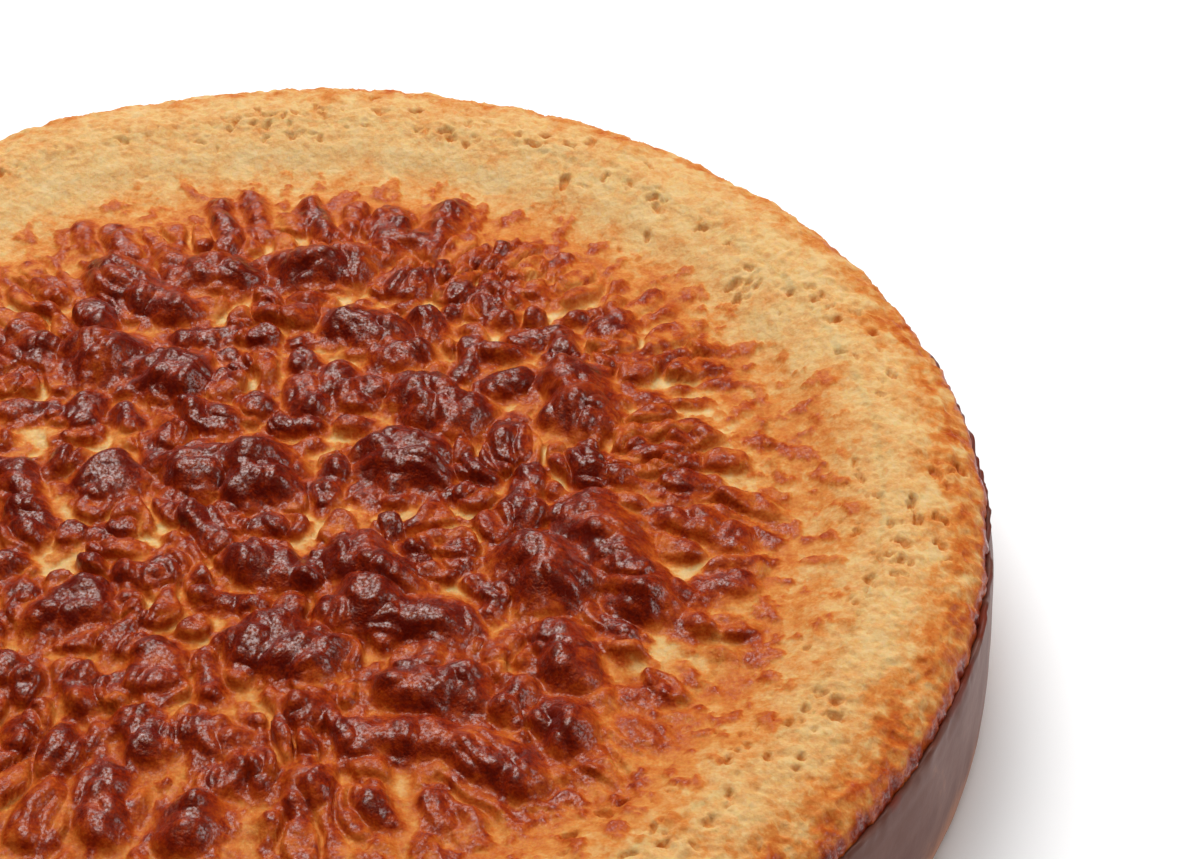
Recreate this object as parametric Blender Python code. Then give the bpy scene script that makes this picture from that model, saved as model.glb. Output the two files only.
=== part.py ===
"""Corn cake: a round cake baked in a deep 26 cm tin and turned out whole, modelled as one solid.

The top has a broad golden rim, a shallow dish inside it, and a crowd of puffed brown blisters in the dish.
The blisters are sausage-shaped, tangled in the middle, and point outwards like fingers at the crowd's edge.
The side is the straight wall that the tin gave it, with a thin lip where it meets the golden crust.

Units are metres, +Z is up, and the origin is the middle of the flat base. Sizes are written in millimetres.
"""

import math
import random

import bmesh
import bpy
import numpy as np
from mathutils import Vector, noise

MM = 0.001
SEED = 26

# The turned outline, in millimetres: radius, height. First the golden top, from the middle out to the lip.
TOP_LINE = (
    (0.0, 36.4),
    (30.0, 36.4),
    (62.0, 35.9),
    (91.0, 34.6),  # the lowest ring of the dish
    (102.0, 37.6),
    (111.0, 39.4),  # the crest of the rim
    (120.5, 37.9),
    (125.2, 35.1),  # the shoulder
    (126.5, 32.0),  # the golden crust tucks in behind the lip
)
# Then the crust that the tin made, from its lip down to the flat base.
WALL_LINE = (
    (127.4, 31.4),
    (128.4, 24.0),
    (129.0, 12.0),
    (128.8, 3.0),
    (128.0, 0.8),
    (126.4, 0.0),
)

# The rim is a little uneven, in millimetres up and down.
RIM_WAVES = (13, 0.3)  # how many round the cake, and how high
RIM_SWELLS = (4, 0.35)
WAVES_GROW = (60.0, 105.0)  # the waves are nothing inside the first radius and whole from the second
BROAD_LUMPS = (26.0, 0.7)  # how far apart, and how high
SMALL_LUMPS = (9.0, 0.45)
LEVEL_EDGE = 6.0  # the unevenness dies out over this distance from the lip

# The mesh before it is thinned: rings of triangles on the top, then rings down the wall.
TOP_RINGS = 92
WALL_RINGS = 10
TRIANGLES = 11400  # after thinning
SHARP_EDGE = 50.0  # degrees; anything blunter is shaded smooth

# The blistered middle, in millimetres and degrees.
CROWD_RADIUS = 76.0  # blisters lie this far out
FINGER_RADII = (66.0, 82.0)  # and the thin fingers round them have their middles between these
LOW_PUFF = 1.3  # a blister's height is LOW_PUFF plus PUFF times its width, times its share
PUFF = 0.36
ROUNDNESS = (2.3, 0.6)  # a dome's section: flat on top and steep at its foot
SKIRT_SHARE = 0.28  # how much of the height is the gentle slope round the dome's foot
SKIRT_REACH = 1.25  # how far out that slope goes, in half widths
MELD = 6.0  # high values keep a sharp crease between touching blisters
BENDS = ((17.0, 3.0), (5.5, 1.3))  # the bends in a blister's outline: how far apart, and how far

# The blisters that stand out: x, y, length, width, turn, share of the full height.
LANDMARKS = (
    (-16, 74, 20, 6, 101, 0.75),
    (-9.5, 78, 17, 5, 99, 0.5),
    (2, 74, 14, 5.5, 108, 0.75),
    (17, 71, 18, 8, 98, 0.75),
    (27, 72, 20, 9, 74, 0.75),
    (-35, 67, 13, 5, 115, 0.6),
    (-15, 58, 17, 12, 170, 0.95),
    (5, 60, 20, 13, 0, 1.0),
    (-34, 56, 16, 12, 150, 0.95),
    (-24, 49, 17, 11, 140, 0.95),
    (-36, 45, 14, 8, 115, 0.85),
    (-33, 31, 17, 14, 100, 1.0),
    (-48, 35, 15, 10, 140, 0.95),
    (-20, 26, 16, 13, 150, 1.0),
    (-15, 38, 16, 6, 10, 0.6),
    (2.5, 46, 12, 7, 85, 0.9),
    (15, 39, 17, 11, 150, 1.0),
    (21, 32, 13, 8, 20, 0.95),
    (26, 41, 10, 8, 110, 0.9),
    (5, 20, 12, 8, 130, 0.9),
    (13, 22, 14, 9, 150, 0.75),
    (-12, 14, 12, 8, 150, 0.85),
    (22, 55, 10, 8, 60, 0.8),
    (35, 51, 13, 6, 10, 0.85),
    (39, 45, 10, 5.5, 120, 0.8),
    (61, 43, 10, 8, 70, 0.75),
    (47, 39, 11, 6, 20, 0.8),
    (52, 36, 12, 6, 100, 0.85),
    (35, 32, 12, 5, 95, 0.85),
    (42, 23, 10, 7, 20, 0.85),
    (54, 19, 20, 13, 100, 1.1),
    (29, 18, 20, 12, 140, 1.0),
    (43, 8, 11, 7, 110, 0.8),
    (57, 1, 13, 6, 95, 0.95),
    (24, 2, 18, 15, 100, 1.0),
    (46, -4, 12, 6, 80, 0.9),
    (70, 4, 15, 5, 160, 0.6),
    (76, -13.5, 20, 7, 159, 0.8),
    (45, -12, 11, 8, 125, 0.9),
    (49, -27, 19, 15, 110, 1.1),
    (63, -25, 25, 12, 113, 1.1),
    (57, -14, 14, 12, 100, 1.05),
    (72, -35, 14, 6, 150, 0.75),
    (78, -28, 14, 5, 15, 0.65),
    (20, -27, 22, 14, 115, 1.05),
    (24, -38, 26, 10, 175, 1.0),
    (32, -52, 18, 12, 15, 0.95),
    (53, -46, 16, 9, 105, 0.95),
    (53, -60, 13, 9, 115, 0.95),
    (27, -64, 20, 8, 10, 0.95),
    (42, -67, 18, 10, 140, 0.95),
    (-12, -1, 15, 12, 100, 0.95),
    (-1, -1, 18, 14, 110, 1.0),
    (-27, -2, 14, 11, 150, 0.85),
    (-41, -8, 22, 8, 113, 0.85),
    (-8, -16, 13, 7, 125, 0.7),
    (12, -4, 14, 6, 75, 0.75),
    (4, -26, 17, 9, 160, 0.95),
    (-17, -26, 14, 8, 15, 0.9),
    (-29, -35, 14, 10, 30, 0.95),
    (7, -44, 20, 11, 155, 0.95),
    (-14, -48, 11, 9, 80, 0.8),
    (-14, -62, 14, 8, 110, 0.85),
    (-2, -64, 13, 8, 160, 0.8),
)

# The rest fill the gaps by a rule. Each row is length, width and share, from and to, then the number of tries
# and how far a new one may overlap the blisters that are there.
FILLERS = (
    ((14, 19), (9, 13), (0.85, 1.0), 260, 1.2),
    ((9, 14), (6, 9), (0.65, 0.95), 900, 1.2),
    ((6, 10), (4, 6), (0.5, 0.8), 1800, 0.9),
)
FINGERS = ((10, 19), (4, 6.5), (0.3, 0.6), 500, 0.5)
TANGLED_TO = 40.0  # inside this radius the fillers lie any way round
COMBED_FROM = 65.0  # and outside this one they point outwards
TANGLE = 75.0  # degrees either way, inside
COMB = 9.0  # and outside


def smooth_line(corners, count):
    """count points evenly spaced along a Catmull-Rom curve through the corners."""
    points = np.array(corners, float)
    ends = np.vstack([2 * points[0] - points[1], points, 2 * points[-1] - points[-2]])
    t = np.linspace(0, 1, 24, endpoint=False)[:, None]
    runs = []
    for a, b, c, d in zip(ends, ends[1:], ends[2:], ends[3:]):
        bend = 2 * a - 5 * b + 4 * c - d
        twist = 3 * b - a - 3 * c + d
        runs.append(b + 0.5 * ((c - a) * t + bend * t**2 + twist * t**3))
    fine = np.vstack([*runs, points[-1:]])
    along = np.concatenate([[0], np.cumsum(np.linalg.norm(np.diff(fine, axis=0), axis=1))])
    at = np.linspace(0, along[-1], count)
    return np.stack([np.interp(at, along, fine[:, k]) for k in (0, 1)], axis=1)


def discs(blister):
    """Three circles along a blister, which stand for it when blisters are kept apart: centres, radius."""
    x, y, length, width, turn, _ = blister
    reach = max(length - width, 0) / 2
    step = np.array([math.cos(math.radians(turn)), math.sin(math.radians(turn))]) * reach
    centre = np.array([x, y])
    return np.array([centre - step, centre, centre + step]), width / 2


def room_for(blister, others, overlap):
    """True if the blister overlaps each of the others by less than overlap."""
    centres, radius = discs(blister)
    for other_centres, other_radius in others:
        gap = np.linalg.norm(centres[:, None] - other_centres[None], axis=2).min()
        if gap < radius + other_radius - overlap:
            return False
    return True


def scattered(rng, inner, outer, rule):
    """Random blisters between two radii, as a row of FILLERS or FINGERS says. Outer ones point outwards."""
    lengths, widths, shares, tries, overlap = rule
    for _ in range(tries):
        radius = math.sqrt(rng.uniform(inner**2, outer**2))
        angle = rng.uniform(0, 360)
        combed = min(max((radius - TANGLED_TO) / (COMBED_FROM - TANGLED_TO), 0), 1)
        turn = angle + rng.gauss(0, TANGLE * (1 - combed) + COMB)
        x, y = radius * math.cos(math.radians(angle)), radius * math.sin(math.radians(angle))
        yield (x, y, rng.uniform(*lengths), rng.uniform(*widths), turn, rng.uniform(*shares)), overlap


def all_blisters():
    """The landmarks, then as many of the scattered ones as there is room for, the largest first."""
    rng = random.Random(SEED)
    kept = list(LANDMARKS)
    taken = [discs(b) for b in kept]
    rounds = [scattered(rng, 0, CROWD_RADIUS, rule) for rule in FILLERS]
    rounds.append(scattered(rng, *FINGER_RADII, FINGERS))
    for blister, overlap in (found for each in rounds for found in each):
        if room_for(blister, taken, overlap):
            kept.append(blister)
            taken.append(discs(blister))
    return kept


def noise_at(xy, apart, layer):
    """Smooth random vectors, about -1 to 1, at each point of xy, unlike those of any other layer."""
    return np.array([noise.noise_vector(Vector((x / apart, y / apart, 7.3 * layer + 0.5))) for x, y in xy])


def blister_relief(xy):
    """How far the blisters lift the top at each point, in millimetres."""
    warped = xy.copy()
    for layer, (apart, reach) in enumerate(BENDS):
        warped += noise_at(xy, apart, layer)[:, :2] * reach
    domes, skirts = np.zeros(len(xy)), np.zeros(len(xy))
    for x, y, length, width, turn, share in all_blisters():
        offset = warped - (x, y)
        near = np.abs(offset).max(axis=1) < length
        c, s = math.cos(math.radians(turn)), math.sin(math.radians(turn))
        along = np.abs(offset[near] @ (c, s))
        across = offset[near] @ (-s, c)
        past_end = np.maximum(along - max(length - width, 0) / 2, 0)
        reach = np.hypot(past_end, across) / (width / 2)
        height = share * (LOW_PUFF + PUFF * width)
        dome = np.clip(1 - reach ** ROUNDNESS[0], 0, 1) ** ROUNDNESS[1]
        skirt = np.exp(-((reach / SKIRT_REACH) ** 2))
        domes[near] += ((1 - SKIRT_SHARE) * height * dome) ** MELD
        skirts[near] += (SKIRT_SHARE * height * skirt) ** 2
    return domes ** (1 / MELD) + skirts**0.5


def unevenness(xy, radius, angle):
    """The rise and fall of the top at each point: waves round the rim, and soft lumps all over."""
    waves = [height * np.cos(count * angle - 1) for count, height in (RIM_WAVES, RIM_SWELLS)]
    grown = np.clip((radius - WAVES_GROW[0]) / (WAVES_GROW[1] - WAVES_GROW[0]), 0, 1)
    lumps = [height * noise_at(xy, apart, apart)[:, 2] for apart, height in (BROAD_LUMPS, SMALL_LUMPS)]
    return sum(waves) * grown * grown * (3 - 2 * grown) + sum(lumps)


def ringed_disc(rings):
    """A hexagon cut into rings of even triangles, with each vertex's angle and its share of the way out."""
    mesh = bmesh.new()
    bmesh.ops.create_circle(mesh, cap_ends=True, cap_tris=True, segments=6, radius=1)
    bmesh.ops.subdivide_edges(mesh, edges=mesh.edges[:], cuts=rings - 1, use_grid_fill=True)
    flat = np.array([v.co[:2] for v in mesh.verts])
    side_angles = np.radians(np.arange(0, 360, 60))
    towards = np.stack([np.cos(side_angles), np.sin(side_angles)], axis=1)
    apothem = math.cos(math.radians(30))
    side = (flat @ towards.T).argmax(axis=1)
    share = (flat * towards[side]).sum(axis=1) / apothem
    beside = flat[:, 1] * towards[side, 0] - flat[:, 0] * towards[side, 1]
    angle = side_angles[side] + math.radians(60) * beside / np.maximum(share, 1e-9)
    return mesh, angle, share


def lower_edge(mesh):
    """The open edge of the surface, as edges."""
    return [e for e in mesh.edges if e.is_boundary]


def cake_mesh():
    """The whole cake: the top's rings, the wall extruded down from them ring by ring, and the flat base."""
    mesh, angle, share = ringed_disc(TOP_RINGS)
    line = smooth_line(TOP_LINE, TOP_RINGS + 1)
    ring = np.rint(share * TOP_RINGS).astype(int)
    radius, height = line[ring, 0], line[ring, 1]
    xy = np.stack([radius * np.cos(angle), radius * np.sin(angle)], axis=1)
    inside_edge = np.clip((TOP_LINE[-1][0] - radius) / LEVEL_EDGE, 0, 1)
    height = height + blister_relief(xy) + unevenness(xy, radius, angle) * inside_edge
    for vertex, (x, y), z in zip(mesh.verts, xy, height):
        vertex.co = Vector((x, y, z)) * MM
    for next_radius, next_height in smooth_line(WALL_LINE, WALL_RINGS):
        grown = bmesh.ops.extrude_edge_only(mesh, edges=lower_edge(mesh))["geom"]
        for vertex in (g for g in grown if isinstance(g, bmesh.types.BMVert)):
            outwards = Vector((vertex.co.x, vertex.co.y, 0)).normalized()
            vertex.co = (outwards * next_radius + Vector((0, 0, next_height))) * MM
    bmesh.ops.contextual_create(mesh, geom=lower_edge(mesh))
    bmesh.ops.recalc_face_normals(mesh, faces=mesh.faces[:])
    bmesh.ops.triangulate(mesh, faces=mesh.faces[:])
    return mesh


def crust_material(name, colour, roughness):
    material = bpy.data.materials.new(name)
    material.use_nodes = True
    shader = material.node_tree.nodes["Principled BSDF"]
    shader.inputs["Base Color"].default_value = (*colour, 1)
    shader.inputs["Roughness"].default_value = roughness
    return material


def corn_cake():
    """The cake as one object, its triangles thinned where the crust is plain."""
    mesh = cake_mesh()
    count = len(mesh.faces)
    data = bpy.data.meshes.new("corn_cake")
    mesh.to_mesh(data)
    mesh.free()
    data.materials.append(crust_material("golden_crust", (0.60, 0.33, 0.12), 0.55))
    data.shade_smooth()
    data.set_sharp_from_angle(angle=math.radians(SHARP_EDGE))
    cake = bpy.data.objects.new("corn_cake", data)
    bpy.context.scene.collection.objects.link(cake)
    thin = cake.modifiers.new("Thin", "DECIMATE")
    thin.ratio = TRIANGLES / count
    return cake


def main():
    for old in list(bpy.data.objects):
        bpy.data.objects.remove(old, do_unlink=True)
    corn_cake()


main()
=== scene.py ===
"""The looks of a whole corn cake: blistered brown middle, golden rim and the smooth side its tin left."""

import cmath
import math
import random

import bmesh
import bpy
import numpy as np
from mathutils import Matrix, Vector, noise


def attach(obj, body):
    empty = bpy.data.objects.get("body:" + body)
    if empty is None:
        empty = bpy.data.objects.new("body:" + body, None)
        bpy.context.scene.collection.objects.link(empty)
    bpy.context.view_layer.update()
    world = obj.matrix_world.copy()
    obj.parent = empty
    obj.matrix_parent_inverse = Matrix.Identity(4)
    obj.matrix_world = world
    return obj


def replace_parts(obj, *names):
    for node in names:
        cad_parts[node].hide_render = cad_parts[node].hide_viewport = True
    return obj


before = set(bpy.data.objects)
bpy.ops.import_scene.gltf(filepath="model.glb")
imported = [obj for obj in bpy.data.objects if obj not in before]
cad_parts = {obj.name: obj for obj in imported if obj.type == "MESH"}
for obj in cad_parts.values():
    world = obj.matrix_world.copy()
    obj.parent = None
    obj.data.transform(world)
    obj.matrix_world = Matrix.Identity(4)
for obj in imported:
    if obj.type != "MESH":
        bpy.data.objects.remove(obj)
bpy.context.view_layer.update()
MM = 0.001


# ---------------------------------------------------------------------------------------------------------
# The blistered middle of the top: thin baked skin over a shallow dish, modelled as a round solid that closes
# underneath. In the oven it puffed into blisters, which browned: dark on their tops and pale in between. The
# skin runs on into the crust round it, so this section's functions shape the whole top.

# Sizes are in millimetres from the middle of the flat base, and a place on the top is a complex number,
# x + 1j * y.
TOP_LINE = (
    (0.0, 36.4),
    (30.0, 36.4),
    (62.0, 35.9),
    (91.0, 34.6),  # the lowest ring of the dish
    (102.0, 37.6),
    (111.0, 39.4),  # the crest of the rim
    (120.5, 37.9),
    (125.2, 35.1),  # the shoulder
    (126.5, 32.0),  # the golden crust tucks in behind the lip of the side
)
RIM_WAVES = ((13, 0.3), (4, 0.35))  # the rim's slow rise and fall: how many round the cake, and how high
RIM_WAVES_GROW = (60.0, 105.0)  # they reach their full height between these radii
TOP_LUMPS = ((26.0, 0.7), (9.0, 0.45))  # lumps all over the top: how far apart, and how high
EVEN_EDGE = 6.0  # over this width the waves and lumps die out towards the outer edge


def soft_noise(at, apart, layer):
    """Smooth random values, about -1 to 1, at each place; layers differ."""
    places = zip((at.real / apart).tolist(), (at.imag / apart).tolist())
    return np.array([noise.noise((x, y, layer + 0.37)) for x, y in places])


def smoothly(low, high, value):
    """0 where value is below low, 1 where it is above high, an S-curve between; low may be the larger."""
    t = np.clip((value - low) / (high - low), 0, 1)
    return t * t * (3 - 2 * t)


def smooth_line(corners, count):
    """count points evenly spaced along a smooth curve through the corners."""
    points = np.array(corners, float)
    ends = np.vstack([2 * points[0] - points[1], points, 2 * points[-1] - points[-2]])
    t = np.linspace(0, 1, 24, endpoint=False)[:, None]  # the steps from a corner to the next
    runs = []
    for a, b, c, d in zip(ends, ends[1:], ends[2:], ends[3:]):
        bend = 2 * a - 5 * b + 4 * c - d
        twist = 3 * b - a - 3 * c + d
        runs.append(b + 0.5 * ((c - a) * t + bend * t**2 + twist * t**3))
    fine = np.vstack([*runs, points[-1:]])
    along = np.concatenate([[0], np.cumsum(np.linalg.norm(np.diff(fine, axis=0), axis=1))])
    at = np.linspace(0, along[-1], count)
    return np.stack([np.interp(at, along, fine[:, k]) for k in (0, 1)], axis=1)


def plain_height(at):
    """The top without its blisters: the turned outline, its lumps, and the rim's slow rise and fall."""
    radius, angle = np.abs(at), np.angle(at)
    line = smooth_line(TOP_LINE, count=400)
    waves = sum(height * np.cos(count * angle - 1) for count, height in RIM_WAVES)
    lumps = sum(height * soft_noise(at, apart, layer=apart) for apart, height in TOP_LUMPS)
    uneven = waves * smoothly(*RIM_WAVES_GROW, radius) + lumps
    share = np.clip((TOP_LINE[-1][0] - radius) / EVEN_EDGE, 0, 1)
    return np.interp(radius, line[:, 0], line[:, 1]) + uneven * share


# x, y, length, width, turn in degrees, share of the full height, of each blister that stands out.
LARGE_BLISTERS = (
    (-16, 76, 23, 6, 101, 0.8), (-9.5, 80, 20, 5, 99, 0.6), (2, 77, 18, 5.5, 108, 0.75),
    (17, 73, 21, 8, 98, 0.75), (27, 74, 23, 9, 74, 0.75), (-35, 69, 16, 5, 115, 0.65),
    (-15, 58, 17, 12, 170, 0.95), (5, 60, 20, 13, 0, 1.0), (-34, 56, 16, 12, 150, 0.95),
    (-24, 49, 17, 11, 140, 0.95), (-36, 45, 14, 8, 115, 0.85), (-33, 31, 17, 14, 100, 1.0),
    (-48, 35, 15, 10, 140, 0.95), (-20, 26, 16, 13, 150, 1.0), (-15, 38, 16, 6, 10, 0.6),
    (2.5, 46, 12, 7, 85, 0.9), (15, 39, 17, 11, 150, 1.0), (21, 32, 13, 8, 20, 0.95),
    (26, 41, 10, 8, 110, 0.9), (5, 20, 12, 8, 130, 0.9), (13, 22, 14, 9, 150, 0.75),
    (-12, 14, 12, 8, 150, 0.85), (22, 55, 10, 8, 60, 0.8), (35, 51, 13, 6, 10, 0.85),
    (39, 45, 10, 5.5, 120, 0.8), (61, 43, 10, 8, 70, 0.75), (47, 39, 11, 6, 20, 0.8),
    (52, 36, 12, 6, 100, 0.85), (35, 32, 12, 5, 95, 0.85), (42, 23, 10, 7, 20, 0.85),
    (54, 19, 20, 13, 100, 1.1), (29, 18, 20, 12, 140, 1.0), (43, 8, 11, 7, 110, 0.8),
    (57, 1, 13, 6, 95, 0.95), (24, 2, 18, 15, 100, 1.0), (46, -4, 12, 6, 80, 0.9), (70, 4, 15, 5, 160, 0.6),
    (76, -13.5, 20, 7, 159, 0.8), (45, -12, 11, 8, 125, 0.9), (49, -27, 19, 15, 110, 1.1),
    (63, -25, 25, 12, 113, 1.1), (57, -14, 14, 12, 100, 1.05), (72, -35, 14, 6, 150, 0.75),
    (78, -28, 14, 5, 15, 0.65), (20, -27, 22, 14, 115, 1.05), (24, -38, 26, 10, 175, 1.0),
    (32, -52, 18, 12, 15, 0.95), (53, -46, 16, 9, 105, 0.95), (53, -60, 13, 9, 115, 0.95),
    (27, -64, 20, 8, 10, 0.95), (42, -67, 18, 10, 140, 0.95), (-12, -1, 15, 12, 100, 0.95),
    (-1, -1, 18, 14, 110, 1.0), (-27, -2, 14, 11, 150, 0.85), (-41, -8, 22, 8, 113, 0.85),
    (-8, -16, 13, 7, 125, 0.7), (12, -4, 14, 6, 75, 0.75), (4, -26, 17, 9, 160, 0.95),
    (-17, -26, 14, 8, 15, 0.9), (-29, -35, 14, 10, 30, 0.95), (7, -44, 20, 11, 155, 0.95),
    (-14, -48, 11, 9, 80, 0.8), (-14, -62, 14, 8, 110, 0.85), (-2, -64, 13, 8, 160, 0.8),
)
SMALL_BLISTERS = (
    (10, 77, 12, 8, 95, 0.5), (-42, 72, 12, 6, 100, 0.5), (-26, 64, 9, 7, 110, 0.6),
    (-24, 60, 10, 7, 130, 0.8), (-47, 54, 10, 8, 120, 0.65), (-9, 31, 10, 5, 120, 0.5),
    (-4, 45, 7, 6, 90, 0.7), (-45, 17, 12, 6, 15, 0.6), (-4, 18, 7, 6, 0, 0.7), (-26, 14, 9, 6, 120, 0.6),
    (5, 13, 10, 5, 0, 0.85), (28, 58, 8, 6, 80, 0.7), (31, 47, 8, 4, 80, 0.7), (42, 55, 15, 4, 100, 0.5),
    (47, 53, 8, 6, 80, 0.45), (56, 46, 11, 4.5, 10, 0.7), (41, 33, 9, 5, 10, 0.85), (34, 27, 8, 6, 60, 0.85),
    (38, 65, 11, 5, 58, 0.6), (38, 1, 10, 5, 110, 0.7), (34, -5, 7, 5, 30, 0.65), (63, -1, 7, 7, 0, 0.7),
    (73, -3, 10, 6, 160, 0.6), (26, -18, 15, 3.5, 125, 0.7), (35, -22, 8, 6, 110, 0.7),
    (45, -54, 11, 8, 70, 0.9), (66, -53, 10, 6, 20, 0.3), (-20, 5, 12, 6, 100, 0.7),
    (-38, 3, 11, 5, 80, 0.6), (-27, -16, 14, 5, 10, 0.6), (18, -7, 8, 5, 150, 0.7),
    (-3, -33, 14, 6, 170, 0.7), (-20, -40, 13, 5, 65, 0.65), (-5, -50, 12, 6, 100, 0.75),
    (-35, -50, 10, 8, 150, 0.85), (-24, -52, 10, 7, 100, 0.7), (-27, -66, 12, 7, 75, 0.7),
    (13, -58, 10, 8, 90, 0.85), (62, 32, 9, 5, 20, 0.5), (67, 22, 9, 5, 170, 0.5), (72, 33, 9, 4.5, 30, 0.4),
    (64, -61, 9, 6, 130, 0.3), (50, 63, 9, 5, 60, 0.4), (-19, -76, 15, 8, 100, 0.9),
    (-4, -80, 12, 10, 95, 0.95), (12, -74, 11, 8, 100, 0.85), (3, 36, 7, 4, 60, 0.6),
    (-29, -78, 14, 7, 75, 0.85), (24, -78, 10, 6, 110, 0.7), (34, -78, 9, 5, 120, 0.6),
    (1, -71, 8, 6, 60, 0.7),
)

# The rest fill the gaps by a rule. Each row is length, width and share, from and to, then the number of
# tries and how far a new one may overlap the blisters that are there.
CROWD_RADIUS = 72.0
FILLERS = (
    ((10, 15), (6.5, 9), (0.8, 1.0), 140, 0.3),
    ((7, 13), (4.5, 6.5), (0.5, 0.9), 500, 0.0),
)
TANGLED_TO = 56.0  # inside this radius blisters lie any way round
COMBED_FROM = 72.0  # and outside this one they point outwards
STRAY = 8.0  # the outer ones stray from that by about so many degrees
TANGLED_STRAY = 70.0  # and the inner ones by so many more
BLISTER_SEED = 26

LOW_PUFF = 0.6  # a blister's height is LOW_PUFF plus PUFF times its width, times its share
PUFF = 0.34
ROUNDNESS = (1.2, 2.6)  # a dome's section: high values have flatter tops and steeper sides
MELD = 3.2  # high values keep a sharp crease between touching blisters
TOASTED = (1.1, 3.0)  # a dome's brown: high values keep it even up to a crisp edge
LEAST_TOASTED = 0.15  # how brown the lowest blister would be, where a full one is 1


def heading(degrees):
    """A step of 1 in that direction; multiplying a place by it turns the place that far."""
    return cmath.rect(1, math.radians(degrees))


def spine(x, y, length, width, turn):
    """Three places on a blister's middle line, whose circles stand for it where blisters are kept apart."""
    return complex(x, y) + np.array([-0.5, 0, 0.5]) * max(length - width, 0) * heading(turn)


def scattered(rng, rule):
    """Random blisters in the crowd, as a row of FILLERS says. The outer ones point outwards."""
    lengths, widths, shares, tries, overlap = rule
    for _ in range(tries):
        radius = CROWD_RADIUS * math.sqrt(rng.random())
        angle = rng.uniform(0, 360)
        tangled = float(smoothly(COMBED_FROM, TANGLED_TO, radius))
        turn = angle + rng.gauss(0, STRAY + TANGLED_STRAY * tangled)
        place = radius * heading(angle)
        size = rng.uniform(*lengths), rng.uniform(*widths)
        yield (place.real, place.imag, *size, turn, rng.uniform(*shares)), overlap


def all_blisters(rng):
    """The blisters that stand out, then as many scattered ones as there is room for, the largest first."""
    kept = [*LARGE_BLISTERS, *SMALL_BLISTERS]
    places = np.concatenate([spine(*b[:5]) for b in kept])
    radii = np.repeat([b[3] / 2 for b in kept], 3)
    for blister, overlap in (found for rule in FILLERS for found in scattered(rng, rule)):
        own, radius = spine(*blister[:5]), blister[3] / 2
        gaps = np.abs(places[:, None] - own).min(axis=1) - radii - radius
        if gaps.min() > -overlap:
            kept.append(blister)
            places = np.concatenate([places, own])
            radii = np.concatenate([radii, [radius] * 3])
    return kept


def by_row(at):
    """The places in order of their y, and the order they came in."""
    order = np.argsort(at.imag)
    return at[order], order


def reach_from(rows, x, y, length, width, turn):
    """Which of the places in order of y are near a sausage shape, and how many half widths off its spine."""
    window = length / 2 + width
    first, last = np.searchsorted(rows.imag, (y - window, y + window))
    near = first + np.flatnonzero(np.abs(rows.real[first:last] - x) < window)
    own = (rows[near] - complex(x, y)) / heading(turn)
    past_end = np.maximum(np.abs(own.real) - max(length - width, 0) / 2, 0)
    return near, np.hypot(past_end, own.imag) / (width / 2)


def blister_lift(at):
    """Each place's height on the blisters, how many half widths off the closest is, and how toasted."""
    rows, order = by_row(at)
    domes, closest, toast = np.zeros(len(at)), np.full(len(at), np.inf), np.zeros(len(at))
    for x, y, length, width, turn, share in all_blisters(random.Random(BLISTER_SEED)):
        height = share * (LOW_PUFF + PUFF * width)
        near, reach = reach_from(rows, x, y, length, width, turn)
        domes[near] += (height * np.exp(-ROUNDNESS[0] * reach ** ROUNDNESS[1])) ** MELD
        closest[near] = np.minimum(closest[near], reach)
        brown = LEAST_TOASTED + (1 - LEAST_TOASTED) * share
        toast[near] = np.maximum(toast[near], brown * np.exp(-TOASTED[0] * reach ** TOASTED[1]))
    lifts = np.zeros((3, len(at)))
    lifts[:, order] = domes ** (1 / MELD), closest, toast
    return lifts


# Between the blisters the skin is puffed into winding ridges, which many waves from all sides add up to.
RIDGE_WAVES = 60
RIDGES_APART = 11.5
FINGERS_APART = 7.5  # outside the middle the ridges point outwards, like fingers, and lie closer together
FINGER_STRETCH = 2.6  # how many times as long as wide the fingers are
WAVE_SPREAD = (0.8, 1.25)  # the waves' lengths vary by these factors
RIDGE_SEED = 4
RIDGE_HEIGHT = 2.2
RIDGE_SIDES = (0.25, 1.2)  # the waves' sums between which a ridge rises
RIDGE_SWELLS = (15.0, 0.9, 0.4)  # its height varies: how far apart, its mean share, and how much
MOAT_BEGINS = (0.8, 1.0)  # a moat round each blister begins between these half widths from its spine,
MOAT_ENDS = (1.7, 1.15)  # ends between these,
MOAT_SHARE = 0.4  # and takes this share of the ridges' height
DIPS = 0.12  # how much of a dome's height the dips between the ridges take away
BENDS = ((17.0, 2.2), (5.5, 1.0))  # bends in all these outlines: how far apart, and how far


def winding(at, seed, shrunk=1.0):
    """Winding ridges and dips, mostly from -2 to 2. Outside the middle they are drawn out outwards."""
    rng = random.Random(seed)
    radius, angle = np.abs(at), np.angle(at)
    tangled, combed = np.zeros(len(at)), np.zeros(len(at))
    for _ in range(RIDGE_WAVES):
        turn, start = rng.uniform(0, 2 * math.pi), rng.uniform(0, 2 * math.pi)
        along = 2 * math.pi / (RIDGES_APART * shrunk * rng.uniform(*WAVE_SPREAD))
        tangled += np.cos((at * cmath.rect(along, turn)).real + start)
        fine = 2 * math.pi / (FINGERS_APART * shrunk * rng.uniform(*WAVE_SPREAD))
        around, outwards = round(COMBED_FROM * fine * math.cos(turn)), fine / FINGER_STRETCH * math.sin(turn)
        combed += np.cos(around * angle + outwards * radius + start)
    share = smoothly(TANGLED_TO, COMBED_FROM, radius)
    return (tangled * np.sqrt(1 - share) + combed * np.sqrt(share)) * math.sqrt(2 / RIDGE_WAVES)


def nudge(at, apart, reach, layers):
    """A small shift to and fro for each place, which bends the outlines of what is drawn there."""
    return reach * (soft_noise(at, apart, layers[0]) + 1j * soft_noise(at, apart, layers[1]))


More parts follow.
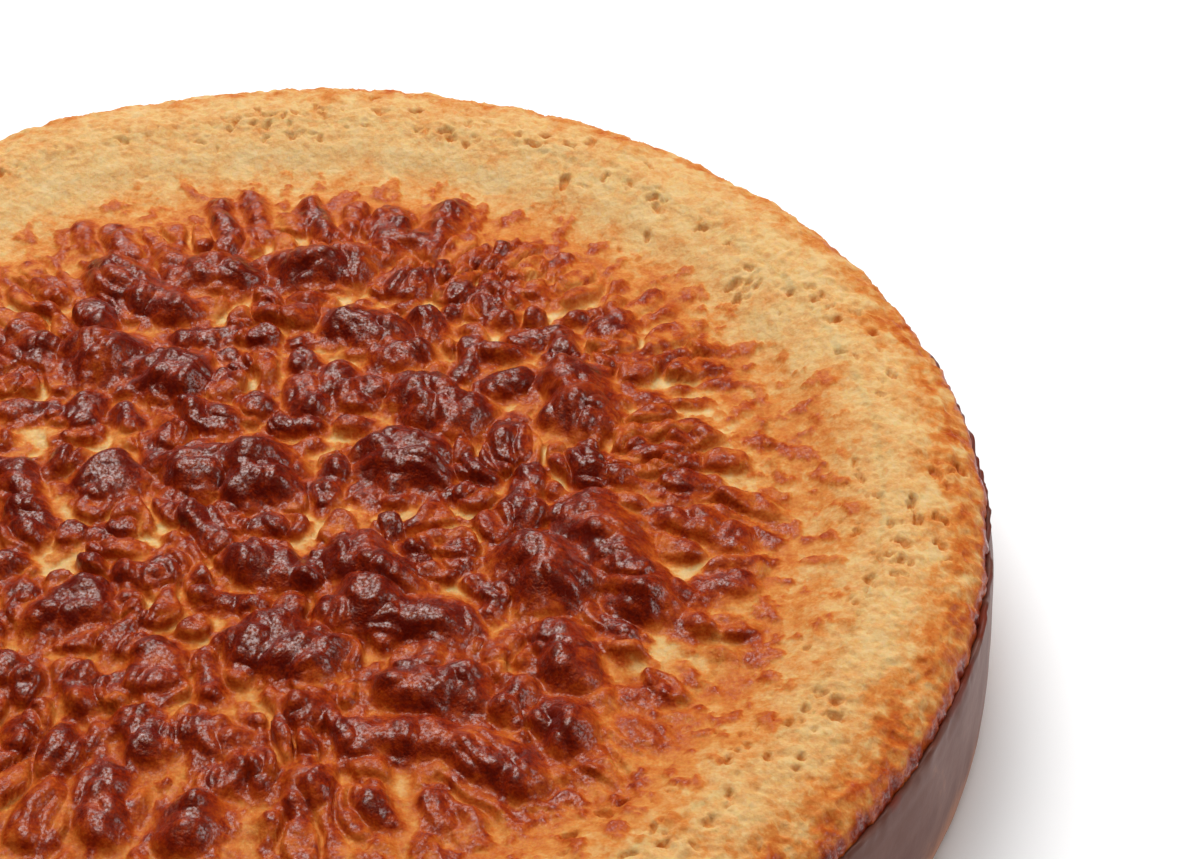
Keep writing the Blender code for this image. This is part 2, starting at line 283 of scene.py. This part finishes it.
def puffed_skin(at, bent, crowd):
    """How high the skin is puffed at each place, and what its browning follows: the ridges, how many half
    widths off the closest blister is, and how toasted. crowd is the share of the ridges' height there."""
    ridges = np.abs(winding(bent, RIDGE_SEED))
    lobes = smoothly(*RIDGE_SIDES, ridges)
    domes, closest, toast = blister_lift(bent)
    domes *= 1 - DIPS * (1 - lobes)
    apart, mean, swells = RIDGE_SWELLS
    low = RIDGE_HEIGHT * lobes * (mean + swells * soft_noise(at, apart, layer=11))
    low *= 1 - MOAT_SHARE * smoothly(*MOAT_BEGINS, closest) * smoothly(*MOAT_ENDS, closest)
    puffs = (domes**MELD + (np.maximum(low, 0) * crowd) ** MELD) ** (1 / MELD)
    return puffs, ridges, closest, toast


# The puffed skin ends in a ragged edge, which lies off the middle, and in an orange fringe outside that.
CROWD_EDGE = 88.0  # its mean radius
CROWD_LEAN = (6.5, -1.1)  # how far off the middle it lies, and in which direction, in radians
CROWD_RAGGED = (14.0, 4.0)  # its ins and outs: how far apart, and how far
RIDGES_GROW = (6.0, -8.0)  # the ridges begin so far outside the edge, and are full so far inside it,
FRINGE_GROWS = (19.0, -2.0)  # as do the fringe's colour
GAPS_GROW = (0.0, -12.0)  # and the pale gaps between the ridges
FLECK_SEED = 6
FLECK_SIZE = 0.6  # flecks of skin in the fringe are so much smaller than the ridges
FLECK_MIX = (0.5, 1.6, 0.7)  # how much of winding ridges, of spots and of wisps is in them
SPOTS_APART = 2.6
FLECKS_THIN_OUT = 0.8  # they get rarer outwards
FLECK_SIDES = (-0.1, 0.8)  # the sums of that mix between which a fleck rises
FLECKS_IN_FRINGE = (0.0, 0.45)  # they fade in between these shares of the fringe
FLECK_HEIGHT = 0.55


def beyond_crowd(at):
    """How far outside the puffed skin's edge each place is."""
    (off, way), (apart, reach) = CROWD_LEAN, CROWD_RAGGED
    edge = CROWD_EDGE + off * np.cos(np.angle(at) - way) + reach * soft_noise(at, apart, layer=7)
    return np.abs(at) - edge


def fringe_flecks(at, bent, fringe, wisps):
    """Where flecks of skin have lifted and browned: 0 where none has, 1 on a fleck."""
    kinds = winding(bent, FLECK_SEED, FLECK_SIZE), soft_noise(at, SPOTS_APART, layer=16), wisps
    flecks = sum(share * kind for share, kind in zip(FLECK_MIX, kinds)) - FLECKS_THIN_OUT * (1 - fringe)
    return smoothly(*FLECK_SIDES, flecks) * smoothly(*FLECKS_IN_FRINGE, fringe)


# The golden crust is crumbly, and its rim has short broken rows of pits.
CRUMBS = ((6.0, 0.8), (2.8, -0.85), (1.5, -0.6))  # how far apart, and how high; below 0 they are hollows
PIT_CLUSTERS = 150
PITS_IN_CLUSTER = (1, 8)
PIT_RADII = (107.0, 5.0)  # the ring that they lie in: its middle, and its spread
PIT_ROWS = (1.5, 3.0)  # a cluster's spread: millimetres outwards, and degrees round the cake
PIT_WIDTHS = (0.6, 1.4)  # the narrowest, and how much wider the widest few are
PIT_LENGTHS = (1.0, 2.2)  # times the width
PIT_DEPTH = 0.85  # times the width
PIT_BENDS = (1.6, 0.9)  # bends in their outlines: how far apart, and how far
PIT_SEED = 7


def pit_depth(at):
    """How deep the crumb pits in the rim are at each place."""
    rng = random.Random(PIT_SEED)
    rows, order = by_row(at)
    depth = np.zeros(len(at))
    for _ in range(PIT_CLUSTERS):
        radius, angle = rng.gauss(*PIT_RADII), rng.uniform(0, 360)
        for _ in range(rng.randint(*PITS_IN_CLUSTER)):
            place = (radius + rng.gauss(0, PIT_ROWS[0])) * heading(angle + rng.gauss(0, PIT_ROWS[1]))
            width = PIT_WIDTHS[0] + PIT_WIDTHS[1] * rng.random() ** 2
            size = width * rng.uniform(*PIT_LENGTHS), width
            near, reach = reach_from(rows, place.real, place.imag, *size, rng.uniform(0, 180))
            found = PIT_DEPTH * width * np.clip(1 - reach**2, 0, 1)
            depth[order[near]] = np.maximum(depth[order[near]], found)
    return depth


# Relief on all of this. A rule with three numbers adds up to the third, growing between the first two.
WISPS_APART = 0.9
WISP_HEIGHT = 0.12
LUMPS = ((7.0, 2.6), (3.4, 1.1))  # the smaller lumps on puffed skin: how far apart, and how high
LUMPS_ROUND = 0.006  # rounds the creases between them
LUMPS_SINK = 0.5  # and sinks them, so that the skin keeps its mean height
PUFFED = (0.3, 1.6)  # the skin counts as puffed between these heights
RIDGES_SINK = (62.0, 84.0, 0.3)  # outwards the ridges lose height
CRUMB_SHARE = 0.4  # how much of the crumbs' height shows inside the rim,
RIM_CRUMBS = (99.0, 111.0, 0.55)  # how much more on the rim,
EDGE_CRUMBS = (117.0, 123.0, 0.95)  # and how far they stand out sideways at its outer edge
BULGE = 0.4  # how far puffed skin swells out over the dips beside it

# How brown the crust is: 0 is the palest gold, and 1 the darkest tops.
GOLD = 0.08
RIM_GOLD = (97.0, 108.0, 0.06)
FRINGE_BROWN = 0.35  # what the fringe and all the ground inside it add
CROWD_BROWN = 0.06  # and what the puffed part adds
NEAR_SIDE = (-20.0, -75.0)  # the near side begins and is full at these values of y,
NEAR_BROWN = 0.1  # where the fringe is browner
NEAR_GAPS = 0.6  # and its pale gaps are weaker by this share
GAP_PALENESS = 0.28  # what the gaps between the ridges lose
GAP_SIDES = (0.6, 0.2)  # the waves' sums between which a gap deepens
GAPS_CLEAR = (1.2, 1.7)  # gaps begin between these half widths from a blister's spine
MOTTLES_APART = (8.0, 3.4, 1.5)  # broad, fine and finest mottling
FINEST_SHARE = 0.8
MOTTLED = (0.08, 0.05)  # how much the broad and the fine mottling add to the ground,
TOP_MOTTLED = (0.25, 0.15)  # and to the tops
FLECK_BROWN = 0.26
FLECK_COVER = 0.35  # the share of the fringe that flecks cover
TOPS_PALER = (38.0, 70.0, 0.13)  # outwards the tops are less dark
WISP_TOAST = 0.3  # wisps make the blisters' toasted tops uneven
PUFF_TOAST = 0.45  # how fast puffed skin browns as it rises,
OUTER_TOAST = (50.0, 78.0, 0.14)  # how much less so outwards,
TOAST_HEIGHT = 2.0  # over which height,
TOAST_CURVE = 1.8  # and how late: high values keep low skin pale
EDGE_GROWS = (112.0, 126.0)  # towards its outer edge the rim gets browner between these radii,
EDGE_MEANDERS = 3.0  # which wander by so much
EDGE_BROWN = (0.25, 0.22)  # what that adds, evenly and with the fine mottling
FAR_EDGE = (20.0, 100.0, 0.45)  # towards the far side, in y, it loses this share
TUCKED_EDGE = (125.3, 126.3, 0.35)
# Painted shade in the pits: their crust is made browner, more so the deeper the pit.
PAINTED_PIT_SHADE = 0.08  # for each millimetre of a pit's depth


def grown(rule, value):
    """What a rule adds: from nothing at its first number to its third at its second, along an S-curve."""
    return rule[2] * smoothly(*rule[:2], value)


def mottling(at):
    """Broad and fine patches of browner and paler crust, each about -1 to 1."""
    broad, fine, finest = (soft_noise(at, apart, layer) for apart, layer in zip(MOTTLES_APART, (8, 9, 15)))
    return broad, fine + FINEST_SHARE * finest


def ground_brown(at, crowd, fringe, gaps, flecks, mottles):
    """How brown the skin is where it isn't puffed."""
    near_side = smoothly(*NEAR_SIDE, at.imag) * fringe
    brown = GOLD + (FRINGE_BROWN + NEAR_BROWN * near_side) * fringe + CROWD_BROWN * crowd
    brown -= GAP_PALENESS * gaps * (1 - NEAR_GAPS * near_side)
    brown += (1 + fringe) * sum(share * mottle for share, mottle in zip(MOTTLED, mottles))
    return brown + FLECK_BROWN * (flecks - FLECK_COVER * fringe) + grown(RIM_GOLD, np.abs(at))


def top_brown(radius, mottles):
    """How brown the puffed skin gets."""
    return 1 - grown(TOPS_PALER, radius) + sum(share * mottle for share, mottle in zip(TOP_MOTTLED, mottles))


def edge_brown(at, mottles):
    """How much browner the outer edge of the rim is."""
    broad, fine = mottles
    edge = smoothly(*EDGE_GROWS, np.abs(at) + EDGE_MEANDERS * broad) * (1 - grown(FAR_EDGE, at.imag))
    return edge * (EDGE_BROWN[0] + EDGE_BROWN[1] * fine) + grown(TUCKED_EDGE, np.abs(at))


def crust(at):
    """The top's height at each place, how brown it is, and how far it swells out sideways."""
    radius, beyond = np.abs(at), beyond_crowd(at)
    crowd = smoothly(*RIDGES_GROW, beyond) * (1 - grown(RIDGES_SINK, radius))
    fringe = smoothly(*FRINGE_GROWS, beyond)
    bent = at + sum(nudge(at, apart, reach, (apart, apart + 50)) for apart, reach in BENDS)
    wisps = soft_noise(at, WISPS_APART, layer=6)
    puffs, ridges, closest, toast = puffed_skin(at, bent, crowd)
    puffed = smoothly(*PUFFED, puffs)
    lumps = sum(height * np.sqrt(soft_noise(bent, apart, 12) ** 2 + LUMPS_ROUND) for apart, height in LUMPS)
    puffs += puffed * (lumps - LUMPS_SINK + WISP_HEIGHT * wisps)
    flecks = fringe_flecks(at, bent, fringe, wisps)
    pits = pit_depth(at + nudge(at, *PIT_BENDS, (13, 14)))
    crumb = sum(height * np.abs(soft_noise(at, apart, layer=apart)) for apart, height in CRUMBS)
    low_relief = crumb * (CRUMB_SHARE + grown(RIM_CRUMBS, radius)) + FLECK_HEIGHT * flecks
    height = plain_height(at) + puffs + (1 - puffed) * low_relief - pits

    mottles = mottling(at)
    gaps = smoothly(*GAP_SIDES, ridges) * smoothly(*GAPS_CLEAR, closest) * smoothly(*GAPS_GROW, beyond)
    ground = ground_brown(at, crowd, fringe, gaps, flecks, mottles)
    rate = PUFF_TOAST - grown(OUTER_TOAST, radius)
    untoasted = 1 - np.clip(toast * (1 + WISP_TOAST * wisps), 0, 1)
    untoasted *= np.exp(-rate * (np.maximum(puffs, 0) / TOAST_HEIGHT) ** TOAST_CURVE)
    brown = ground + (top_brown(radius, mottles) - ground) * (1 - untoasted)
    # The browner rim edge is the crust's own colour; the pits' extra brown is painted shade.
    brown += edge_brown(at, mottles) + PAINTED_PIT_SHADE * pits
    return height, np.clip(brown, 0, 1), BULGE * puffed + crumb * grown(EDGE_CRUMBS, radius)


class Wire:
    """A number or colour on its way through a material. Arithmetic on it adds the Math nodes for it."""

    def __init__(self, finish, socket):
        self.finish = finish
        self.socket = socket

    def math(self, operation, *values):
        return self.finish.node("ShaderNodeMath", {"operation": operation}, dict(enumerate(values)))

    def __add__(self, other):
        return self.math("ADD", self, other)

    def __radd__(self, other):
        return self.math("ADD", other, self)

    def __sub__(self, other):
        return self.math("SUBTRACT", self, other)

    def __rsub__(self, other):
        return self.math("SUBTRACT", other, self)

    def __mul__(self, other):
        return self.math("MULTIPLY", self, other)

    def __rmul__(self, other):
        return self.math("MULTIPLY", other, self)


class Finish:
    """A material being put together. node() adds one node and hands on one of its outputs."""

    def __init__(self, name):
        self.material = bpy.data.materials.new(name)
        self.material.use_nodes = True
        self.tree = self.material.node_tree
        self.shader = self.tree.nodes["Principled BSDF"]

    def node(self, kind, settings, values, output=0):
        made = self.tree.nodes.new(kind)
        for name, value in settings.items():
            if name == "stops":
                self.set_stops(made.color_ramp, value)
            else:
                setattr(made, name, value)
        for name, value in values.items():
            self.feed(made.inputs[name], value)
        return Wire(self, made.outputs[output])

    def feed(self, socket, value):
        if isinstance(value, Wire):
            self.tree.links.new(value.socket, socket)
        else:
            socket.default_value = value

    def set_stops(self, ramp, stops):
        while len(ramp.elements) < len(stops):
            ramp.elements.new(0.5)
        for element, (place, tone) in zip(ramp.elements, stops):
            element.position = place
            element.color = tone

    def noise(self, place, apart, detail):
        """Noise whose lumps are about so many millimetres apart, from 0 to 1 with its middle at 0.5."""
        values = {"Vector": place, "Scale": 1 / (apart * MM), "Detail": detail}
        return self.node("ShaderNodeTexNoise", {}, values)

    def set(self, **values):
        for name, value in values.items():
            self.feed(self.shader.inputs[name.replace("_", " ")], value)
        return self.material


def colour(red, green, blue):
    """A colour as seen on a screen, 0 to 255, as the linear light that materials use."""
    shares = [c / 255 for c in (red, green, blue)]
    return (*(s / 12.92 if s <= 0.04045 else ((s + 0.055) / 1.055) ** 2.4 for s in shares), 1.0)


BROWNING = (  # from pale gold through orange to the dark red-brown of the blisters' tops
    (0.00, colour(211, 182, 130)),
    (0.12, colour(208, 166, 107)),
    (0.30, colour(198, 125, 58)),
    (0.45, colour(183, 93, 30)),
    (0.62, colour(161, 61, 9)),
    (0.80, colour(131, 32, 2)),
    (1.00, colour(94, 12, 1)),
)


def crust_material():
    """Baked skin: colour by how brown it is, fine crumb where it is pale and glossy wrinkles where dark."""
    finish = Finish("baked_crust")
    place = finish.node("ShaderNodeTexCoord", {}, {}, "Object")
    brown = finish.node("ShaderNodeAttribute", {"attribute_name": "browning"}, {}, "Fac")
    speckle = finish.noise(place, apart=2.0, detail=3.0) - 0.5
    grain = finish.noise(place, apart=0.6, detail=2.0) - 0.5
    edges = {"Value": finish.noise(place, apart=2.6, detail=4.0), "From Min": 0.46, "From Max": 0.54}
    patches = finish.node("ShaderNodeMapRange", {"interpolation_type": "SMOOTHSTEP"}, edges) - 0.5
    shade = brown + (0.12 + 0.45 * brown) * (speckle + grain) + 0.06 * patches
    tone = finish.node("ShaderNodeValToRGB", {"stops": BROWNING}, {"Fac": shade})
    wrinkle = finish.noise(place, apart=0.45, detail=2.0)
    crumb = finish.noise(place, apart=1.6, detail=6.0)
    relief = wrinkle * (0.25 * brown + 0.15) + crumb * (1.3 - brown)
    bump = finish.node("ShaderNodeBump", {}, {"Strength": 0.7, "Distance": 0.6 * MM, "Height": relief})
    finish.set(Subsurface_Weight=0.4, Subsurface_Radius=(1.0, 0.45, 0.12), Subsurface_Scale=0.9 * MM)
    flake = finish.noise(place, apart=0.5, detail=2.0) - 0.5
    finish.set(Coat_Weight=(brown - 0.34) * (0.85 + 9.0 * flake), Coat_Roughness=0.22)
    finish.set(Specular_IOR_Level=0.27, Specular_Tint=(1.0, 0.5, 0.25, 1.0))
    roughness = 0.75 - 0.45 * brown + 0.12 * speckle
    return finish.set(Base_Color=tone, Roughness=roughness, Normal=bump)


def browned_mesh():
    """An empty mesh whose vertices can say how brown they are."""
    mesh = bmesh.new()
    mesh.verts.layers.float.new("browning")
    return mesh


def finished(name, mesh, material):
    """Makes a piece of the cake of a mesh: it rides on the frame and has the material it is given."""
    data = bpy.data.meshes.new(name)
    mesh.to_mesh(data)
    mesh.free()
    data.materials.append(material)
    data.shade_smooth()
    piece = bpy.data.objects.new(name, data)
    bpy.context.scene.collection.objects.link(piece)
    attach(piece, "root")
    return piece


baked_crust = crust_material()
SEAMS = (58.0, 90.0, 108.0)  # the skin is cut at these radii, where its pieces dive under each other
DIVE = 0.05  # how fast they dive, in millimetres per square millimetre


def shape_crust(mesh, skin, at, past_seam):
    """Lifts the skin's vertices to the baked form, swells it out sideways, and notes how brown each is."""
    height, brown, swells = crust(at)
    height -= DIVE * np.maximum(past_seam, 0) ** 2
    for vertex, place, z in zip(skin, at.tolist(), height.tolist()):
        vertex.co = Vector((place.real, place.imag, z)) * MM
    mesh.normal_update()
    shade = mesh.verts.layers.float["browning"]
    for vertex, value, swell in zip(skin, brown.tolist(), (swells * MM).tolist()):
        vertex.co += Vector((vertex.normal.x, vertex.normal.y, 0)) * swell
        vertex[shade] = value


MIDDLE_RINGS = 178
MIDDLE_EDGE = 60.0
HIDDEN_DEPTH = 26.0  # the unseen undersides of the crust pieces


def ringed_disc(rings):
    """A hexagon cut into rings of even triangles, with each vertex's angle and how far out it is, 0 to 1."""
    mesh = browned_mesh()
    bmesh.ops.create_circle(mesh, cap_ends=True, cap_tris=True, segments=6, radius=1)
    bmesh.ops.subdivide_edges(mesh, edges=mesh.edges[:], cuts=rings - 1, use_grid_fill=True)
    flat = np.array([v.co[:2] for v in mesh.verts])
    side_angles = np.radians(np.arange(0, 360, 60))
    towards = np.stack([np.cos(side_angles), np.sin(side_angles)], axis=1)
    side = (flat @ towards.T).argmax(axis=1)
    share = (flat * towards[side]).sum(axis=1) / math.cos(math.radians(30))
    beside = flat[:, 1] * towards[side, 0] - flat[:, 0] * towards[side, 1]
    angle = side_angles[side] + math.radians(60) * beside / np.maximum(share, 1e-9)
    return mesh, angle, share


def sort_faces(mesh):
    """Puts the faces in the order of their vertices, because extruding leaves them in any order."""
    mesh.verts.index_update()
    in_order = sorted(mesh.faces, key=lambda face: sorted(v.index for v in face.verts))
    for index, face in enumerate(in_order):
        face.index = index
    mesh.faces.sort()


def blistered_middle():
    mesh, angle, share = ringed_disc(MIDDLE_RINGS)
    at = share * MIDDLE_EDGE * np.exp(1j * angle)
    shape_crust(mesh, list(mesh.verts), at, np.abs(at) - SEAMS[0])
    edge = [e for e in mesh.edges if e.is_boundary]
    skirt = bmesh.ops.extrude_edge_only(mesh, edges=edge)["geom"]
    for vertex in (g for g in skirt if isinstance(g, bmesh.types.BMVert)):
        vertex.co.z = HIDDEN_DEPTH * MM
    bmesh.ops.contextual_create(mesh, geom=[e for e in mesh.edges if e.is_boundary])
    bmesh.ops.recalc_face_normals(mesh, faces=mesh.faces[:])
    sort_faces(mesh)
    return finished("blistered_middle", mesh, baked_crust)


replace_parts(blistered_middle(), "corn_cake")


# ---------------------------------------------------------------------------------------------------------
# The outer blisters: a band of the same skin, in which the blisters draw out into fingers that point at the
# rim and run out in an orange fringe. It is turned from its section and then puffed up.

BAND_STEPS = 1200
BAND_RINGS = 80
OVERLAP = 2.5  # how far a piece reaches past its seam


def turned_body(section, steps):
    """A closed body turned from its section, a closed line of radius and height or one from axis to axis."""
    mesh = browned_mesh()
    bmesh.ops.create_grid(mesh, x_segments=steps, y_segments=len(section) - 1, size=0.5)
    for vertex in mesh.verts:
        radius, height = section[round((vertex.co.y + 0.5) * (len(section) - 1))]
        place = radius * heading(360 * (vertex.co.x + 0.5))
        vertex.co = Vector((place.real, place.imag, height)) * MM
    bmesh.ops.remove_doubles(mesh, verts=mesh.verts[:], dist=1e-6)
    bmesh.ops.recalc_face_normals(mesh, faces=mesh.faces[:])
    return mesh


def crust_ring(name, inner, outer, steps, rings):
    """A ring of the crust between two radii, the seams it shares with its neighbours, closed underneath."""
    line = smooth_line(TOP_LINE, count=900)
    seen = (line[:, 0] > inner - OVERLAP) & (line[:, 0] < outer + OVERLAP)
    top = smooth_line(line[seen], rings)
    under = ((top[-1][0], HIDDEN_DEPTH), (top[0][0], HIDDEN_DEPTH), top[0])
    mesh = turned_body([*top, *under], steps)
    skin = [v for v in mesh.verts if v.co.z > (HIDDEN_DEPTH + 1) * MM]
    at = np.array([complex(*v.co[:2]) for v in skin]) / MM
    shape_crust(mesh, skin, at, np.maximum(inner - np.abs(at), np.abs(at) - outer))
    return finished(name, mesh, baked_crust)


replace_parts(crust_ring("outer_blisters", SEAMS[0], SEAMS[1], BAND_STEPS, BAND_RINGS), "corn_cake")


# ---------------------------------------------------------------------------------------------------------
# The golden slope and rim: crumbly crust that rose against the tin, pitted along its crest and browner at
# its edge, where it tucks in behind the lip of the side. It is two rings, each turned from its section and
# then made uneven.

RIM_STEPS = 1500
RIM_RINGS = 62

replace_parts(crust_ring("golden_slope", SEAMS[1], SEAMS[2], RIM_STEPS, RIM_RINGS), "corn_cake")
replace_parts(crust_ring("golden_rim", SEAMS[2], TOP_LINE[-1][0], RIM_STEPS, RIM_RINGS), "corn_cake")


# ---------------------------------------------------------------------------------------------------------
# The side and base: the smooth, glossy brown skin that formed against the tin. Its thin, ragged lip stands
# a little clear of the golden crust. It is turned from its section, closed under the golden crust.

WALL_LINE = (
    (127.3, 31.4),
    (128.3, 24.0),
    (129.0, 12.0),
    (128.8, 3.0),
    (128.0, 0.8),
    (126.4, 0.0),
)
WALL_STEPS = 1400
WALL_RINGS = 34
LIP_THICKNESS = 0.8
LIP_ROOT = (124.0, 27.0)  # where the lip rises from the crust inside it: radius and height
TORN_FROM = 27.5  # the lip is ragged above this height
RAGGED = ((8.0, 1.1), (2.5, 0.9))  # how far apart its ups and downs are, and how high
LEAN_OUT = (0.5, 130.0)  # where it is torn upwards it also moves out, by this share at this radius
WALL_WAVES = ((22.0, 0.35), (6.0, 0.1))
FOOT = 1.0  # the waves stop at this height

SIDE_BROWN = 0.45
LIP_DARKENS = (28.5, 31.0)  # between these heights
LIP_BROWN = (0.1, 0.5)  # what is added there, evenly and where it scorched
SCORCHES_APART = 5.0
SCORCH_SIDES = (-0.1, 0.35)
FOOT_PALENESS = (13.0, 1.0, 0.42)  # what the side loses downwards between these heights


def tin_material():
    """Crust that baked against metal: even red-brown, paler at the foot, with a dull gloss."""
    finish = Finish("tin_side_crust")
    place = finish.node("ShaderNodeTexCoord", {}, {}, "Object")
    brown = finish.node("ShaderNodeAttribute", {"attribute_name": "browning"}, {}, "Fac")
    blotch = finish.noise(place, apart=9.0, detail=3.0) - 0.5
    speckle = finish.noise(place, apart=1.2, detail=2.0) - 0.5
    shade = brown + 0.7 * blotch + 0.25 * speckle
    stops = (
        (0.0, colour(165, 106, 72)),
        (0.35, colour(108, 63, 49)),
        (0.7, colour(94, 50, 38)),
        (1.0, colour(104, 40, 22)),
    )
    tone = finish.node("ShaderNodeValToRGB", {"stops": stops}, {"Fac": shade})
    relief = finish.noise(place, apart=2.5, detail=3.0)
    bump = finish.node("ShaderNodeBump", {}, {"Strength": 0.35, "Distance": 0.3 * MM, "Height": relief})
    return finish.set(Base_Color=tone, Roughness=0.45 + 0.2 * blotch, Specular_IOR_Level=0.25, Normal=bump)


def uneven(place, rules):
    """Smooth random values at a place in the scene, added up for each distance apart and height."""
    return sum(height * noise.noise(place / (apart * MM)) for apart, height in rules)


def tin_side():
    lip_radius, lip_top = WALL_LINE[0]
    inner = ((lip_radius - LIP_THICKNESS, lip_top), LIP_ROOT, (0.0, LIP_ROOT[1]))
    mesh = turned_body([*reversed(inner), *smooth_line(WALL_LINE, WALL_RINGS), (0.0, 0.0)], WALL_STEPS)
    shade = mesh.verts.layers.float["browning"]
    out, reach = LEAN_OUT
    for vertex in mesh.verts:
        x, y, z = vertex.co / MM
        if z > TORN_FROM:
            share = (z - LIP_ROOT[1]) / (lip_top - LIP_ROOT[1])
            tear = uneven(vertex.co, RAGGED)
            vertex.co += Vector((out * x, out * y, reach)) / reach * share * tear * MM
        if FOOT < z < LIP_ROOT[1]:
            vertex.co += Vector((x, y, 0)).normalized() * uneven(vertex.co, WALL_WAVES) * MM
        scorch = float(smoothly(*SCORCH_SIDES, noise.noise(vertex.co / (SCORCHES_APART * MM))))
        darker = (LIP_BROWN[0] + LIP_BROWN[1] * scorch) * smoothly(*LIP_DARKENS, z)
        vertex[shade] = SIDE_BROWN + darker - grown(FOOT_PALENESS, z)
    return finished("tin_side", mesh, tin_material())


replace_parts(tin_side(), "corn_cake")


# ---------------------------------------------------------------------------------------------------------
# The studio: a plain white table, a large soft light overhead, weaker ones behind the cake and at its right,
# and a dim room round them. Places, sizes and powers are in metres and watts.

TABLE_SIZE = 6.0
ROOM_LIGHT = 0.035


def table_top():
    mesh = bmesh.new()
    bmesh.ops.create_grid(mesh, x_segments=1, y_segments=1, size=TABLE_SIZE)
    data = bpy.data.meshes.new("table_top")
    mesh.to_mesh(data)
    mesh.free()
    finish = Finish("white_table")
    data.materials.append(finish.set(Base_Color=(0.95, 0.95, 0.95, 1), Roughness=0.9))
    top = bpy.data.objects.new("table_top", data)
    bpy.context.scene.collection.objects.link(top)


def soft_light(name, place, size, power):
    light = bpy.data.lights.new(name, "AREA")
    light.shape = "DISK"
    light.size = size
    light.energy = power
    lamp = bpy.data.objects.new(name, light)
    lamp.location = place
    lamp.rotation_euler = (-Vector(place)).to_track_quat("-Z", "Y").to_euler()
    bpy.context.scene.collection.objects.link(lamp)


table_top()
soft_light("key_light", (-0.2, 0.3, 1.2), size=1.2, power=18.5)
soft_light("back_light", (-0.2, 1.1, 0.85), size=0.9, power=5.5)
soft_light("right_light", (1.2, 0.0, 0.6), size=1.0, power=7.0)
world = bpy.data.worlds.new("room")
world.use_nodes = True
world.node_tree.nodes["Background"].inputs["Color"].default_value = (1, 1, 1, 1)
world.node_tree.nodes["Background"].inputs["Strength"].default_value = ROOM_LIGHT
bpy.context.scene.world = world
bpy.context.scene.view_settings.view_transform = "Standard"


# ---------------------------------------------------------------------------------------------------------
# The camera looks down on the far right part of the cake from close by, with a short telephoto lens. Its
# place follows from how round the rim looks, and from where its middle lies.

IMAGE = (1203, 859)
FOCAL_LENGTH = 2600.0  # in pixels of the image
LOOKING_DOWN = 40.4  # degrees
RIM_MIDDLE_AT = (267.6, 477.8)  # the pixel where the middle of the rim's outline shows
RIM_MIDDLE = Vector((0, 0, 35.6 * MM))
DEPTH = 458.7 * MM  # how far in front of the camera that point is


def camera():
    data = bpy.data.cameras.new("camera")
    data.sensor_width = 36.0
    data.lens = FOCAL_LENGTH * data.sensor_width / IMAGE[0]
    eye = bpy.data.objects.new("camera", data)
    turn = Matrix.Rotation(math.radians(90 - LOOKING_DOWN), 4, "X")
    across = (RIM_MIDDLE_AT[0] - IMAGE[0] / 2) / FOCAL_LENGTH
    down = (RIM_MIDDLE_AT[1] - IMAGE[1] / 2) / FOCAL_LENGTH
    place = RIM_MIDDLE - turn @ (Vector((across, -down, -1)) * DEPTH)
    eye.matrix_world = Matrix.Translation(place) @ turn
    bpy.context.scene.collection.objects.link(eye)
    bpy.context.scene.camera = eye


camera()
